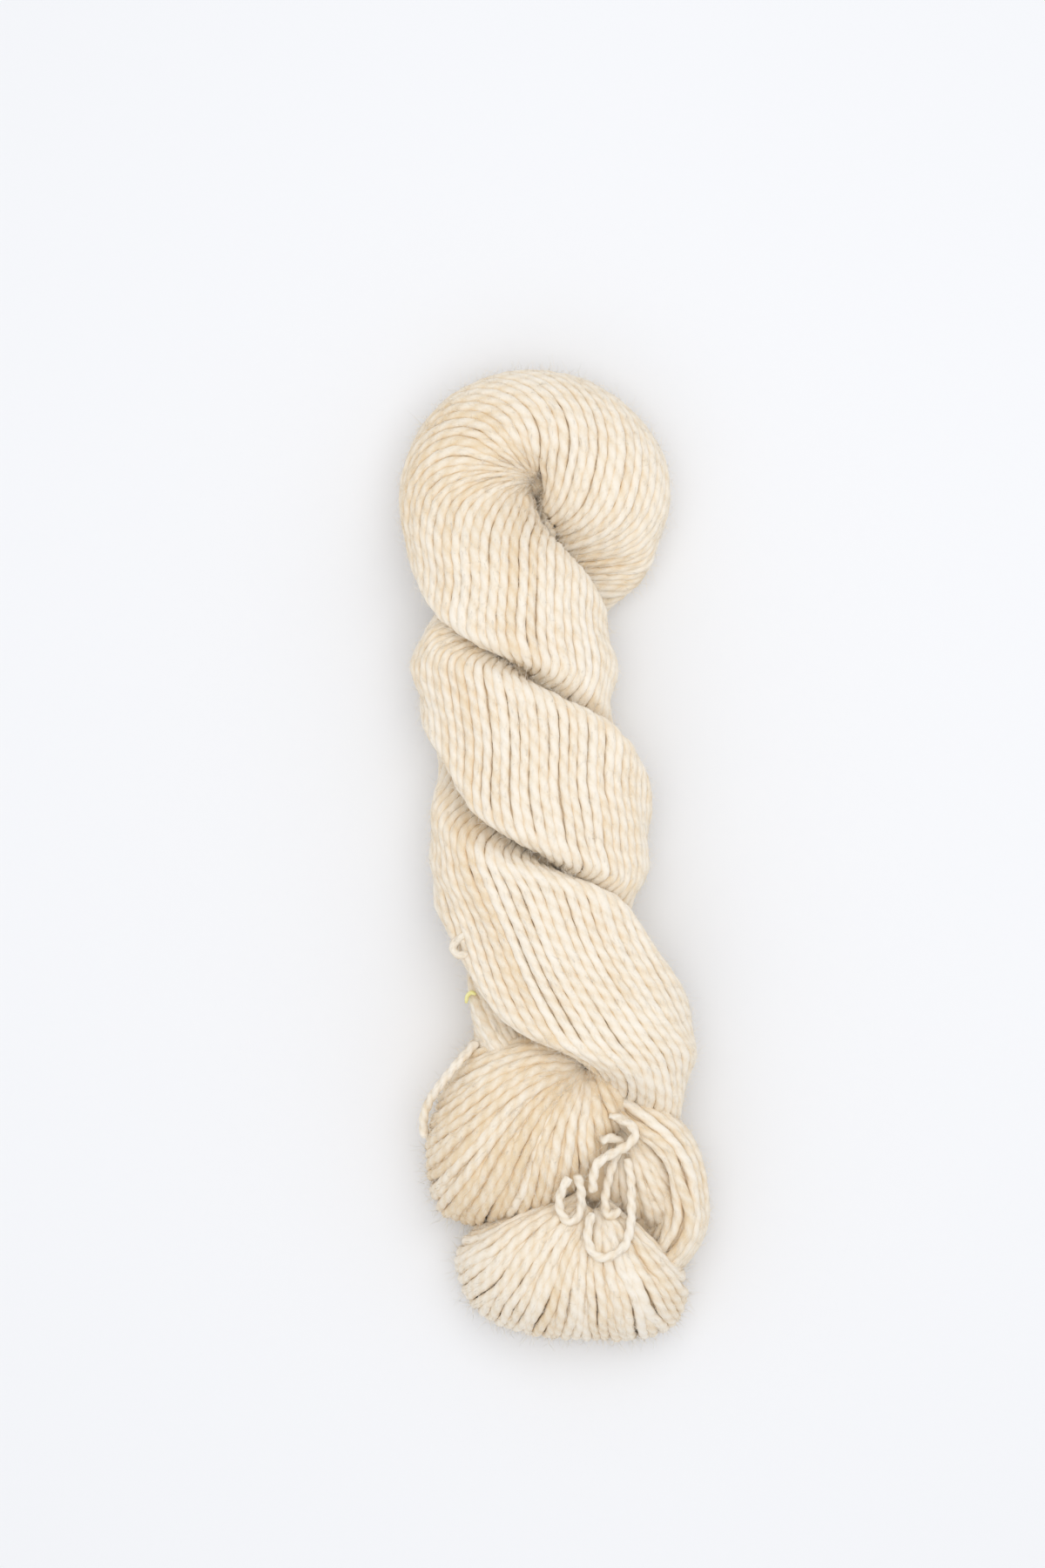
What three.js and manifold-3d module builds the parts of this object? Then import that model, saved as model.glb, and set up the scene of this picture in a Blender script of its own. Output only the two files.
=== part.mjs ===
// A twisted hank of two-ply worsted yarn, lying flat. Millimetres, +Z up.
// +Y runs along the hank to its folded end, +X to the right as seen from above, z = 0 is the table.
import * as THREE from 'three';
import Module from 'manifold-3d';

const wasm = await Module();
wasm.setup();

// Driving dimensions
const yarnThickness = 2.8;
const seatGap = 0.3;
const outlineMiddleX = 1;
const outlineMiddleY = 0.1;
const middleHeight = 21.3;
const knobHeight = 18.5;
const bodyFlattening = 0.74;
const knobFlattening = 0.94;
const innerFullness = 0.34;
const sectionStep = 4;
const pointsAround = 28;

// The two strands of the twisted body, from the folded end down.
// y and x place a section's centre, deep is its half size away from the hank's axis,
// wide its half size around the axis, and phase says where round the axis it lies, in degrees.
const firstStrand = {
  y: [106.5, 95, 83, 70, 59, 52.75, 45, 38, 25, 10, -2.75, -12.75, -22, -35, -50, -57.25, -72, -87],
  x: [-23.2, -23.25, -18, -9.6, 0.4, 5.1, -0.5, -6, -5.5, -12.5, -17.4, -7.6, -1.25, 7.5, 16.8, 24.5, 20.5, 11.75],
  deep: [19, 18.5, 16.5, 15.5, 14.5, 14, 14.5, 15, 15, 15.5, 15.75, 15.5, 15.5, 15.5, 16, 16, 14, 11],
  wide: [19.2, 21, 24, 26, 26, 25.5, 25.5, 26, 26.5, 26.5, 27, 27.5, 27.5, 28, 28, 28, 23, 16],
  phase: [180, 142, 108, 72, 28, 0, -32, -60, -92, -135, -186, -243, -263, -280, -312, -346, -405, -450],
};
const secondStrand = {
  y: [106.5, 95, 83, 70, 59, 52.75, 45, 38, 29, 18, 8, -2.75, -12, -22, -35, -50, -60, -72, -84],
  x: [14.7, 14.25, 6, -9.75, -18.75, -23.6, -20, -12.25, -4, 1.25, 7, 13.5, 5.25, 1, -2, -7, -10, -9, -3.25],
  deep: [19, 18.75, 16.5, 14.5, 14.5, 14.75, 15, 15, 15, 15, 15.5, 14.5, 14.5, 14, 14, 13.5, 12.5, 11, 8],
  wide: [19.2, 20, 22, 25, 25.5, 26, 27, 27.5, 28, 28, 28, 27.5, 24.5, 23, 23, 21.5, 19, 15, 9],
  phase: [0, -38, -78, -122, -155, -182, -213, -246, -268, -292, -322, -360, -398, -435, -465, -498, -526, -550, -570],
};

// The folded end: the strand turns round this point, its sections a little smaller over the top.
const knob = {
  x: -4.25,
  y: 106.5,
  sideRadius: 19,
  topRadius: 16.2,
  shoulderDrop: 0.8,
  coreRadius: 2,
  coreTop: 21,
};

// The middle of the hank, where the two strands press together.
const heart = {
  y: [75, 66, 52.75, 25.75, -1, -29.25, -57.75, -76],
  x: [-12, -11, -10, -3.75, -3.25, 3, 8.75, 13],
  radius: 4.6,
};

// Fans of yarn at the open end: each row is a ray from the root.
// angle and bend in degrees, reach its length, crest the height of its back, rim the height of its edge.
const leftFan = {
  rootX: 16.75,
  rootY: -64.75,
  rootTop: 20,
  angle: [110, 150, 172, 192, 208, 224, 240, 256, 272],
  bend: [75, 45, 33, 22, 14, 6, 0, 0, 0],
  reach: [49, 49.5, 51.5, 61, 63.5, 61, 53, 43, 30],
  crest: [27, 36, 39, 39.5, 39.5, 38.5, 37, 35, 30],
  rim: [16, 16, 15, 14, 13, 12, 12, 12, 12],
};
const frontFan = {
  rootX: 12.5,
  rootY: -96.5,
  rootTop: 24,
  angle: [192, 200, 213, 229, 246, 262, 280, 297, 312, 324],
  bend: [6, 5, 3, 0, 0, 0, 0, 0, -2, -4],
  reach: [33, 42.5, 46, 48, 44.5, 42, 42.5, 44.5, 40, 30],
  crest: [24, 31, 34, 35, 36, 36, 36, 35, 32, 25],
  rim: [13, 11, 10, 10, 10, 10, 10, 10, 11, 13],
};
const innerFan = {
  rootX: 17.5,
  rootY: -74,
  rootTop: 22,
  angle: [338, 326, 312, 298, 284, 270, 256],
  bend: [-24, -18, -10, -5, 0, 0, 0],
  reach: [26, 32, 36.5, 37, 34, 30, 26],
  crest: [27, 29, 30, 30, 29, 28, 26],
  rim: [12, 12, 12, 12, 12, 12, 12],
};

// The right side of the open end loop: sections square to its path.
const endLoop = {
  x: [18.5, 27, 34.5, 37.5, 37.5, 31, 20],
  y: [-71.5, -77, -85, -95.5, -106, -115, -120],
  z: [20, 21, 20, 18, 16, 13, 11],
  wide: [4, 6, 6.5, 6.5, 6.5, 6.5, 6.5],
  deep: [9, 13, 14, 14, 13, 11, 10],
};

// The loose yarns that show: each a route of x, y and z, with its own thickness.
const looseYarns = {
  tie_loop: {
    thickness: yarnThickness,
    route: [
      [21.5, -86.3, 31.8], [22.6, -92, 31.6], [22.8, -98.5, 31.6], [22.5, -104.8, 33.6],
      [20.9, -110.5, 36.8], [17.8, -113, 37.6], [14.5, -114.1, 37.8], [12, -113, 37.8],
      [10.4, -109.5, 37.4], [10.4, -105.8, 36.4], [11.4, -102, 34.6],
    ],
  },
  tie_yarn: {
    thickness: yarnThickness,
    route: [
      [14.2, -81, 36.2], [17.2, -80.4, 34.4], [19.6, -82, 32], [18.4, -85.8, 31.2],
      [16.8, -90.3, 31.4], [15.8, -94.6, 31.2], [15.2, -99, 31.6], [16, -102.6, 33.4],
      [17.8, -102.2, 32.8], [19.2, -101.2, 31.8],
    ],
  },
  tie_end: {
    thickness: 3.2,
    route: [
      [11.8, -95.4, 34.2], [11.8, -92, 35.6], [13, -87.6, 36.6], [17, -84.8, 36],
      [21.6, -82.4, 35.4], [23.8, -79.3, 35.4], [22.8, -77, 34.4], [20.6, -75.6, 33.4],
      [18.6, -74.6, 33.2], [16.4, -74, 33.6],
    ],
  },
  small_loop: {
    thickness: yarnThickness,
    route: [
      [7.2, -90.8, 37.5], [8.3, -94.6, 36], [8.4, -100, 33.8], [7.2, -103.2, 34.2],
      [5, -104.2, 34.6], [2.8, -101.8, 34.6], [2.2, -97.8, 36], [3.4, -94, 37.4],
      [5, -91.4, 37.6],
    ],
  },
  side_loop: {
    thickness: yarnThickness,
    route: [
      [-21.6, -54, 29], [-26.4, -59, 29.7], [-31.2, -65, 27.6], [-34.6, -70, 24.6],
      [-36.4, -74.5, 22.2], [-36.6, -78.4, 20.4], [-36.2, -81, 19.8],
    ],
  },
  marker_thread: {
    thickness: 1.3,
    route: [
      [-24.4, -42.4, 22], [-24, -40.4, 23.4], [-22.8, -39.4, 24.4], [-21.6, -40, 25],
    ],
  },
};

// A smooth curve through a table's rows: cubic pieces whose slopes come from the rows on both sides.
function along(places, values, at) {
  const last = places.length - 1;
  const rising = places[last] > places[0] ? 1 : -1;
  let i = 0;
  while (i < last - 1 && (at - places[i + 1]) * rising > 0) i += 1;
  const slope = (k) => {
    const before = Math.max(k - 1, 0);
    const after = Math.min(k + 1, last);
    return (values[after] - values[before]) / (places[after] - places[before]);
  };
  const gap = places[i + 1] - places[i];
  const t = (at - places[i]) / gap;
  const start = (2 * t ** 3 - 3 * t ** 2 + 1) * values[i] + (t ** 3 - 2 * t ** 2 + t) * gap * slope(i);
  const finish = (3 * t ** 2 - 2 * t ** 3) * values[i + 1] + (t ** 3 - t ** 2) * gap * slope(i + 1);
  return start + finish;
}

function countTo(table) {
  return table.map((value, k) => k);
}

// A point of a strand's section: an ellipse, fuller towards the hank's axis, turned to its phase.
function strandPoint(strand, y, theta, side) {
  const at = (column) => along(strand.y, strand[column], y);
  const phase = THREE.MathUtils.degToRad(at('phase'));
  const intoBody = THREE.MathUtils.smoothstep(106.5 - y, 0, 28);
  const flattening = THREE.MathUtils.lerp(knobFlattening, bodyFlattening, intoBody);
  const height = THREE.MathUtils.lerp(knobHeight, middleHeight, intoBody);
  const deep = at('deep');
  const outward = deep * Math.cos(theta);
  const around = side * at('wide') * Math.sin(theta) * (1 - innerFullness * intoBody * Math.cos(theta));
  const x = at('x') + outward * Math.cos(phase) - around * Math.sin(phase);
  const lift = (outward + deep * intoBody) * Math.sin(phase) + around * Math.cos(phase);
  return new THREE.Vector3(x, y, height + flattening * lift);
}

// A point of the folded end: an ellipse standing on a ray from the knob's centre.
function knobPoint(turn, theta) {
  const towardTop = Math.sin(turn) ** 2;
  const overShoulder = knob.shoulderDrop * Math.max(Math.sin(2 * turn), 0) ** 2;
  const radius = THREE.MathUtils.lerp(knob.sideRadius, knob.topRadius, towardTop) - overShoulder;
  const fromCentre = radius + seatGap + radius * Math.cos(theta);
  const x = knob.x + fromCentre * Math.cos(turn);
  const y = knob.y + fromCentre * Math.sin(turn);
  return new THREE.Vector3(x, y, knobHeight - knobFlattening * firstStrand.wide[0] * Math.sin(theta));
}

// A point of a fan: along the ray it rises from the root to its crest and rounds over to the rim;
// beneath, it lies flat and rounds up to the same rim.
function fanPoint(fan, ray, share, beneath) {
  const at = (column) => along(countTo(fan.angle), fan[column], ray);
  const angle = THREE.MathUtils.degToRad(at('angle') + at('bend') * share);
  const reach = at('reach') * share;
  const crest = at('crest');
  const rim = at('rim');
  const rounding = THREE.MathUtils.clamp((share - 0.42) / 0.58, 0, 1);
  const over = rim + (crest - rim) * Math.sqrt(1 - rounding ** 2.4);
  const rise = fan.rootTop + (crest - fan.rootTop) * Math.sin(Math.min(share / 0.42, 1) * Math.PI / 2);
  const tuck = THREE.MathUtils.clamp((share - 0.5) / 0.5, 0, 1);
  const under = rim * (1 - Math.sqrt(1 - tuck ** 2.4));
  const top = share < 0.42 ? rise : over;
  return new THREE.Vector3(
    fan.rootX + reach * Math.cos(angle),
    fan.rootY + reach * Math.sin(angle),
    beneath ? under : top,
  );
}

// A point of a loop's section, square to its path.
function loopPoint(loop, place, theta) {
  const at = (column, where) => along(countTo(loop.x), loop[column], where);
  const ahead = 0.01;
  const run = new THREE.Vector3(
    at('x', place + ahead) - at('x', place - ahead),
    at('y', place + ahead) - at('y', place - ahead),
    0,
  ).normalize();
  const across = at('wide', place) * Math.cos(theta);
  return new THREE.Vector3(
    at('x', place) + across * run.y,
    at('y', place) - across * run.x,
    at('z', place) + at('deep', place) * Math.sin(theta),
  );
}

// A closed solid from points and triangles, turned faces out.
function solidOf(points, triangles) {
  const mesh = new wasm.Mesh({
    numProp: 3,
    vertProperties: new Float32Array(points.flatMap((point) => point.toArray())),
    triVerts: new Uint32Array(triangles.flat()),
  });
  return new wasm.Manifold(mesh);
}

// Six times the volume inside the triangles, negative where their faces point in.
function signedVolume(points, triangles) {
  const cross = new THREE.Vector3();
  return triangles.reduce((sum, [a, b, c]) => {
    cross.crossVectors(points[b], points[c]);
    return sum + points[a].dot(cross);
  }, 0);
}

function faceOut(points, triangles) {
  if (signedVolume(points, triangles) > 0) return triangles;
  return triangles.map(([a, b, c]) => [a, c, b]);
}

// A solid from rings of equal length, each end closed by a point at its middle.
function ringSolid(rings) {
  const around = rings[0].length;
  const points = rings.flat();
  const triangles = [];
  for (let i = 0; i < rings.length - 1; i += 1) {
    for (let j = 0; j < around; j += 1) {
      const a = i * around + j;
      const b = i * around + (j + 1) % around;
      triangles.push([a, b, a + around], [b, b + around, a + around]);
    }
  }
  const lastRing = (rings.length - 1) * around;
  const middle = (ring) => ring.reduce((sum, point) => sum.add(point), new THREE.Vector3()).divideScalar(around);
  const startPoint = points.push(middle(rings[0])) - 1;
  const endPoint = points.push(middle(rings[rings.length - 1])) - 1;
  for (let j = 0; j < around; j += 1) {
    const next = (j + 1) % around;
    triangles.push([startPoint, next, j], [endPoint, lastRing + j, lastRing + next]);
  }
  return solidOf(points, faceOut(points, triangles));
}

function spread(from, to, count) {
  return Array.from({ length: count }, (_, k) => from + (to - from) * k / (count - 1));
}

function anglesAround() {
  return Array.from({ length: pointsAround }, (_, k) => 2 * Math.PI * k / pointsAround);
}

function strandSolid(strand, side) {
  const low = strand.y[strand.y.length - 1];
  const count = Math.round((strand.y[0] - low) / sectionStep);
  return ringSolid(spread(strand.y[0], low, count).map((y) => (
    anglesAround().map((theta) => strandPoint(strand, y, theta, side))
  )));
}

function knobSolid() {
  const overlap = 0.02;
  const bend = ringSolid(spread(Math.PI + overlap, -overlap, 25).map((turn) => (
    anglesAround().map((theta) => knobPoint(turn, theta))
  )));
  const core = ringSolid([2, knob.coreTop].map((z) => (
    spread(0, 1.75 * Math.PI, 8).map((turn) => (
      new THREE.Vector3(knob.x + knob.coreRadius * Math.cos(turn), knob.y + knob.coreRadius * Math.sin(turn), z)
    ))
  )));
  return bend.add(core);
}

// A fan as a closed solid: its back, its underside, its two sides and the short face at its root.
function fanSolid(fan) {
  const rays = spread(0, fan.angle.length - 1, fan.angle.length * 2 + 1);
  const shares = [0.05, 0.15, 0.25, 0.35, 0.45, 0.55, 0.65, 0.74, 0.82, 0.89, 0.95, 0.985];
  const rings = rays.map((ray) => [
    ...shares.map((share) => fanPoint(fan, ray, share, false)),
    fanPoint(fan, ray, 1, false),
    ...shares.toReversed().map((share) => fanPoint(fan, ray, share, true)),
  ]);
  const around = rings[0].length;
  const points = rings.flat();
  const triangles = [];
  for (let i = 0; i < rings.length - 1; i += 1) {
    for (let j = 0; j < around; j += 1) {
      const a = i * around + j;
      const b = i * around + (j + 1) % around;
      triangles.push([a, b, a + around], [b, b + around, a + around]);
    }
  }
  const lastRing = (rings.length - 1) * around;
  for (let j = 0; j < shares.length; j += 1) {
    const across = around - 1 - j;
    triangles.push([j, across, j + 1], [lastRing + j, lastRing + j + 1, lastRing + across]);
    if (j < shares.length - 1) {
      triangles.push([j + 1, across, across - 1]);
      triangles.push([lastRing + j + 1, lastRing + across - 1, lastRing + across]);
    }
  }
  return solidOf(points, faceOut(points, triangles));
}

function loopSolid(loop) {
  return ringSolid(spread(0, loop.x.length - 1, 20).map((place) => (
    anglesAround().map((theta) => loopPoint(loop, place, theta))
  )));
}

// Everything above the table.
function aboveTable() {
  const box = new THREE.BoxGeometry(200, 400, 100).translate(0, 0, 50);
  const points = [];
  const welded = new Map();
  const position = box.getAttribute('position');
  const corner = [...box.index.array].map((k) => {
    const key = `${position.getX(k)},${position.getY(k)},${position.getZ(k)}`;
    if (!welded.has(key)) {
      welded.set(key, points.push(new THREE.Vector3().fromBufferAttribute(position, k)) - 1);
    }
    return welded.get(key);
  });
  const triangles = spread(0, corner.length / 3 - 1, corner.length / 3)
    .map((k) => [corner[3 * k], corner[3 * k + 1], corner[3 * k + 2]]);
  return solidOf(points, faceOut(points, triangles));
}

function heartSolid() {
  const places = spread(heart.y[0], heart.y[heart.y.length - 1], 14);
  return ringSolid(places.map((y) => (
    spread(0, 1.75 * Math.PI, 8).map((turn) => (
      new THREE.Vector3(
        along(heart.y, heart.x, y) + heart.radius * Math.cos(turn),
        y,
        middleHeight + heart.radius * Math.sin(turn),
      )
    ))
  )));
}

function hankSolid() {
  const pieces = [
    knobSolid(),
    strandSolid(secondStrand, -1),
    heartSolid(),
    fanSolid(leftFan),
    fanSolid(innerFan),
    fanSolid(frontFan),
    loopSolid(endLoop),
  ];
  const whole = pieces.reduce((sum, piece) => sum.add(piece), strandSolid(firstStrand, 1));
  return whole.intersect(aboveTable());
}

function looseYarnGeometry(yarn) {
  const curve = new THREE.CatmullRomCurve3(yarn.route.map((point) => new THREE.Vector3(...point)));
  const round = new THREE.Shape(spread(0, 1.75 * Math.PI, 8).map((turn) => (
    new THREE.Vector2(Math.cos(turn), Math.sin(turn)).multiplyScalar(yarn.thickness / 2)
  )));
  const steps = Math.ceil(curve.getLength() / yarn.thickness);
  return new THREE.ExtrudeGeometry(round, { steps, bevelEnabled: false, extrudePath: curve });
}

function geometryOf(solid) {
  const mesh = solid.getMesh();
  const geometry = new THREE.BufferGeometry();
  geometry.setAttribute('position', new THREE.BufferAttribute(mesh.vertProperties.slice(), 3));
  geometry.setIndex(new THREE.BufferAttribute(mesh.triVerts.slice(), 1));
  geometry.computeVertexNormals();
  return geometry;
}

// The origin is on the table under the middle of the outline.
const group = new THREE.Group();
group.position.set(-outlineMiddleX, -outlineMiddleY, 0);

const wool = new THREE.MeshStandardMaterial({ color: 0xece0cb, roughness: 0.95, metalness: 0 });
const yellowThread = new THREE.MeshStandardMaterial({ color: 0xf0e896, roughness: 0.9, metalness: 0 });

const hank = new THREE.Mesh(geometryOf(hankSolid()), wool);
hank.name = 'hank';
group.add(hank);

Object.entries(looseYarns).forEach(([name, yarn]) => {
  const material = name === 'marker_thread' ? yellowThread : wool;
  const mesh = new THREE.Mesh(looseYarnGeometry(yarn), material);
  mesh.name = name;
  group.add(mesh);
});

export default group;
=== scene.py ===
import bpy
import numpy as np
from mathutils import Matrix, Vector


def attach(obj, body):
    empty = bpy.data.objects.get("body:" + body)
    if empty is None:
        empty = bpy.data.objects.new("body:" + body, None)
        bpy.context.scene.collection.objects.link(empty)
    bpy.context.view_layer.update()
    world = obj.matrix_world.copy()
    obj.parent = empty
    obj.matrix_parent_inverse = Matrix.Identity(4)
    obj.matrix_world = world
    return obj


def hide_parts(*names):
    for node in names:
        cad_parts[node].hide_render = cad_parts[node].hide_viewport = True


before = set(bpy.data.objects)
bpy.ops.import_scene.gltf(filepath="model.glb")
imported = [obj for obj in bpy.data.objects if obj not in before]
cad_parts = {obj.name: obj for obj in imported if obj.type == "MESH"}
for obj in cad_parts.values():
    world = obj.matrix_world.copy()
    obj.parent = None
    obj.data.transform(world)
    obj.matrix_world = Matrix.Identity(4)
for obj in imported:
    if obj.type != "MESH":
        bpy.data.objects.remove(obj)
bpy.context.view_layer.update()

# A twisted hank of two-ply worsted wool lying on a table, seen from straight above.
# Tables are in millimetres; makePiece turns them into metres in the frame of the solids.

mm = 0.001
outlineMiddle = np.array([1.0, 0.1, 0.0])  # mm, taken off every point of the tables
dice = np.random.default_rng(41)

yarn = {
    "width": 3.25,  # over both plies
    "pitch": 2.8,  # between neighbours lying side by side
    "waist": 0.89,  # thickness between the plies, as a share of the width
    "lobePower": 1.2,  # larger makes each ply narrower
    "groovePaintedShade": 0.21,  # painted shade between the plies: how much darker the tone is there
    "flankPaintedShade": 0.23,  # and painted shade down its sides, where it meets its neighbours
    "flankLimit": 1.2,  # past this share of the way down it gets no darker
    "flankPower": 1.5,
    "plyTurn": 11.0,  # length of one full turn of the two plies
    "sides": 8,
    "step": 1.15,  # length of one ring
    "inset": 1.1,  # the yarn's middle below the wound surface
    "lowest": 1.3,  # its middle above the table, at least
}


# camera, table and lights

view = {
    "lens": 120.0, "sensor": 36.0, "farClip": 20.0,
    "x": -9.25, "y": 20.15,  # the middle of the picture on the table
    "level": 20.0,  # height at which the picture is one frameLength tall
    "frameLength": 450.0,
}

scene = bpy.context.scene


def addObject(name, data):
    made = bpy.data.objects.new(name, data)
    scene.collection.objects.link(made)
    return made


def setInputs(node, values):
    for key, value in values.items():
        node.inputs[key].default_value = value


cameraData = bpy.data.cameras.new("photoCamera")
cameraData.lens = view["lens"]
cameraData.sensor_width = view["sensor"]
cameraData.clip_end = view["farClip"]
distance = view["frameLength"] * view["lens"] / view["sensor"]
photoCamera = addObject("photoCamera", cameraData)
photoCamera.location = (view["x"] * mm, view["y"] * mm, (view["level"] + distance) * mm)
scene.camera = photoCamera
scene.view_settings.view_transform = "Standard"
scene.view_settings.look = "None"

studio = {  # in metres; a lamp's watts, size and place
    "worldColour": (0.96, 0.97, 1.0, 1.0), "worldStrength": 0.80,
    "lamps": {"keyLight": (1.8, 0.6, (0.07, 0.12, 0.78)), "fillLight": (1.7, 1.4, (-0.25, -0.45, 1.3))},
    "table": (0.88, 0.885, 0.895, 1.0), "tableHalf": 3, "tableRoughness": 0.85, "tableShine": 0.1,
}

world = bpy.data.worlds.new("studio")
scene.world = world
world.use_nodes = True
setInputs(world.node_tree.nodes["Background"], {
    "Color": studio["worldColour"], "Strength": studio["worldStrength"]})

for name, (power, size, at) in studio["lamps"].items():
    # a square soft light, turned from its place towards the middle of the table
    data = bpy.data.lights.new(name, "AREA")
    data.energy = power
    data.shape = "SQUARE"
    data.size = size
    lamp = addObject(name, data)
    lamp.location = at
    lamp.rotation_mode = "QUATERNION"
    lamp.rotation_quaternion = (Vector((0, 0, 0)) - Vector(at)).to_track_quat("-Z", "Y")

half = studio["tableHalf"]
tableMesh = bpy.data.meshes.new("tableTop")
tableCorners = [(-half, -half, 0), (half, -half, 0), (half, half, 0), (-half, half, 0)]
tableMesh.from_pydata(tableCorners, [], [(0, 1, 2, 3)])
tableTop = addObject("tableTop", tableMesh)
tablePaint = bpy.data.materials.new("whiteTable")
tablePaint.use_nodes = True
setInputs(tablePaint.node_tree.nodes["Principled BSDF"], {
    "Base Color": studio["table"], "Roughness": studio["tableRoughness"],
    "Specular IOR Level": studio["tableShine"]})
tableMesh.materials.append(tablePaint)
print("stage: camera, table and lights")


# wool

wool = {
    "shade": (0.81, 0.65, 0.44, 1.0), "shadeAt": 0.25,  # colours by tone: deep between the yarns, where the painted shade takes the tone down
    "cream": (0.91, 0.82, 0.68, 1.0), "creamAt": 0.6,
    "pale": (0.95, 0.89, 0.79, 1.0), "paleAt": 0.885,  # on top of the plies, clear of the painted shade
    "roughness": 0.92, "shine": 0.15,
    "sheen": 0.25, "sheenRoughness": 0.45, "sheenTint": (1.0, 0.95, 0.86, 1.0),
    "streakStretch": (14.0, 0.9, 1.0), "streakDetail": 3.0, "streakShare": 0.35,
    "cloudScale": 90.0, "cloudDetail": 2.0, "cloudShare": 0.3,
    "fibreBump": 0.35, "fibreDepth": 0.00012,
}
thread = {"shade": (0.78, 0.70, 0.22, 1), "cream": (0.90, 0.84, 0.34, 1), "pale": (0.93, 0.90, 0.5, 1)}


def woolMaterial(name, colours):
    # tone of each yarn, with its painted shade between and under the yarns, + a share of streaks along its
    # fibres
    # + a share of a soft cloud, read off a ramp from shade to pale; the streaks are also the fine relief of
    #   the fibres
    material = bpy.data.materials.new(name)
    material.use_nodes = True
    nodes, links = material.node_tree.nodes, material.node_tree.links

    def add(kind, **values):
        node = nodes.new("ShaderNode" + kind)
        setInputs(node, values)
        return node

    shader = nodes["Principled BSDF"]
    setInputs(shader, {
        "Roughness": wool["roughness"], "Specular IOR Level": wool["shine"], "Sheen Weight": wool["sheen"],
        "Sheen Roughness": wool["sheenRoughness"], "Sheen Tint": wool["sheenTint"]})
    tone = add("Attribute")
    tone.attribute_name = "tone"
    place = add("UVMap")
    place.uv_map = "fibre"
    stretch = add("Mapping", Scale=wool["streakStretch"])
    links.new(place.outputs["UV"], stretch.inputs["Vector"])
    streaks = add("TexNoise", Scale=1.0, Detail=wool["streakDetail"])
    links.new(stretch.outputs["Vector"], streaks.inputs["Vector"])
    body = add("TexCoord")
    cloud = add("TexNoise", Scale=wool["cloudScale"], Detail=wool["cloudDetail"])
    links.new(body.outputs["Object"], cloud.inputs["Vector"])
    value = tone.outputs["Fac"]
    for noise, share in ((streaks, wool["streakShare"]), (cloud, wool["cloudShare"])):
        mix = add("Math")
        mix.operation = "MULTIPLY_ADD"
        mix.inputs[1].default_value = share
        links.new(noise.outputs["Fac"], mix.inputs[0])
        links.new(value, mix.inputs[2])
        value = mix.outputs["Value"]
    ramp = add("ValToRGB")
    low, high = ramp.color_ramp.elements
    low.position, low.color = wool["shadeAt"], colours["shade"]
    high.position, high.color = wool["paleAt"], colours["pale"]
    ramp.color_ramp.elements.new(wool["creamAt"]).color = colours["cream"]
    links.new(value, ramp.inputs["Fac"])
    links.new(ramp.outputs["Color"], shader.inputs["Base Color"])
    bump = add("Bump", Strength=wool["fibreBump"], Distance=wool["fibreDepth"])
    links.new(streaks.outputs["Fac"], bump.inputs["Height"])
    links.new(bump.outputs["Normal"], shader.inputs["Normal"])
    return material


creamWool = woolMaterial("creamWool", wool)
yellowThread = woolMaterial("yellowThread", thread)
print("materials: wool and thread")


# tools for tables and lines

def along(knots, values, at):
    # cubic through the values at the knots, each slope taken from its two neighbours
    knots, values = np.asarray(knots, float), np.asarray(values, float)
    if knots[-1] < knots[0]:
        knots, values = knots[::-1], values[::-1]
    count = len(knots)
    before = np.maximum(np.arange(count) - 1, 0)
    after = np.minimum(np.arange(count) + 1, count - 1)
    slope = ((values[after] - values[before]).T / (knots[after] - knots[before])).T
    i = np.clip(np.searchsorted(knots, at, side="right") - 1, 0, count - 2)
    h = knots[i + 1] - knots[i]
    t = (at - knots[i]) / h
    if values.ndim > 1:
        h, t = h[..., None], t[..., None]
    return ((2 * t**3 - 3 * t**2 + 1) * values[i] + (t**3 - 2 * t**2 + t) * h * slope[i]
            + (3 * t**2 - 2 * t**3) * values[i + 1] + (t**3 - t**2) * h * slope[i + 1])


def ease(x, start, end):
    # 0 before start, 1 after end, smooth between
    t = np.clip((x - start) / (end - start), 0, 1)
    return t * t * (3 - 2 * t)


def unit(vectors):
    # each vector over its own length
    return vectors / np.maximum(np.linalg.norm(vectors, axis=-1, keepdims=True), 1e-9)


def blurRows(rows, width):
    # running mean down the first axis, weighted as a bell of that many rows
    reach = max(1, int(3 * width))
    weights = np.exp(-0.5 * (np.arange(-reach, reach + 1) / width) ** 2)
    weights /= weights.sum()
    held = np.pad(rows, ((reach, reach),) + ((0, 0),) * (rows.ndim - 1), mode="edge")
    return sum(weight * held[k:k + len(rows)] for k, weight in enumerate(weights))


def firmRows(grid, width):
    # evened down the rows, and what that drew in given back
    once = blurRows(grid, width)
    return 2 * once - blurRows(once, width)


def unitNoise(rows, count, width):
    # smooth random wander down each column, of spread one
    raw = blurRows(dice.standard_normal((rows, count)), max(width, 1.0))
    return raw / np.maximum(raw.std(), 1e-6)


def lengthsAlong(path):
    # distance of each point from the first, summed along the line
    return np.concatenate([[0.0], np.cumsum(np.linalg.norm(np.diff(path, axis=0), axis=1))])


def resample(path, step, *others):
    # the same line in rings of equal length, with other columns carried along
    run = lengthsAlong(path)
    keep = np.concatenate([[True], np.diff(run) > 1e-6])
    at = np.linspace(0, run[-1], max(3, int(round(run[-1] / step)) + 1))

    def column(values):
        return np.stack([np.interp(at, run[keep], values[keep, k]) for k in range(values.shape[1])], -1)

    return [column(np.asarray(each)) for each in (path, *others)]


def smoothRoute(route, step):
    # one smooth line through the route's points, in rings of equal length
    route = np.array(route, float)
    run = lengthsAlong(route)
    fine = along(run, route, np.linspace(0, run[-1], 400))
    return resample(fine, step)[0]


# tools for meshes

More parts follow.
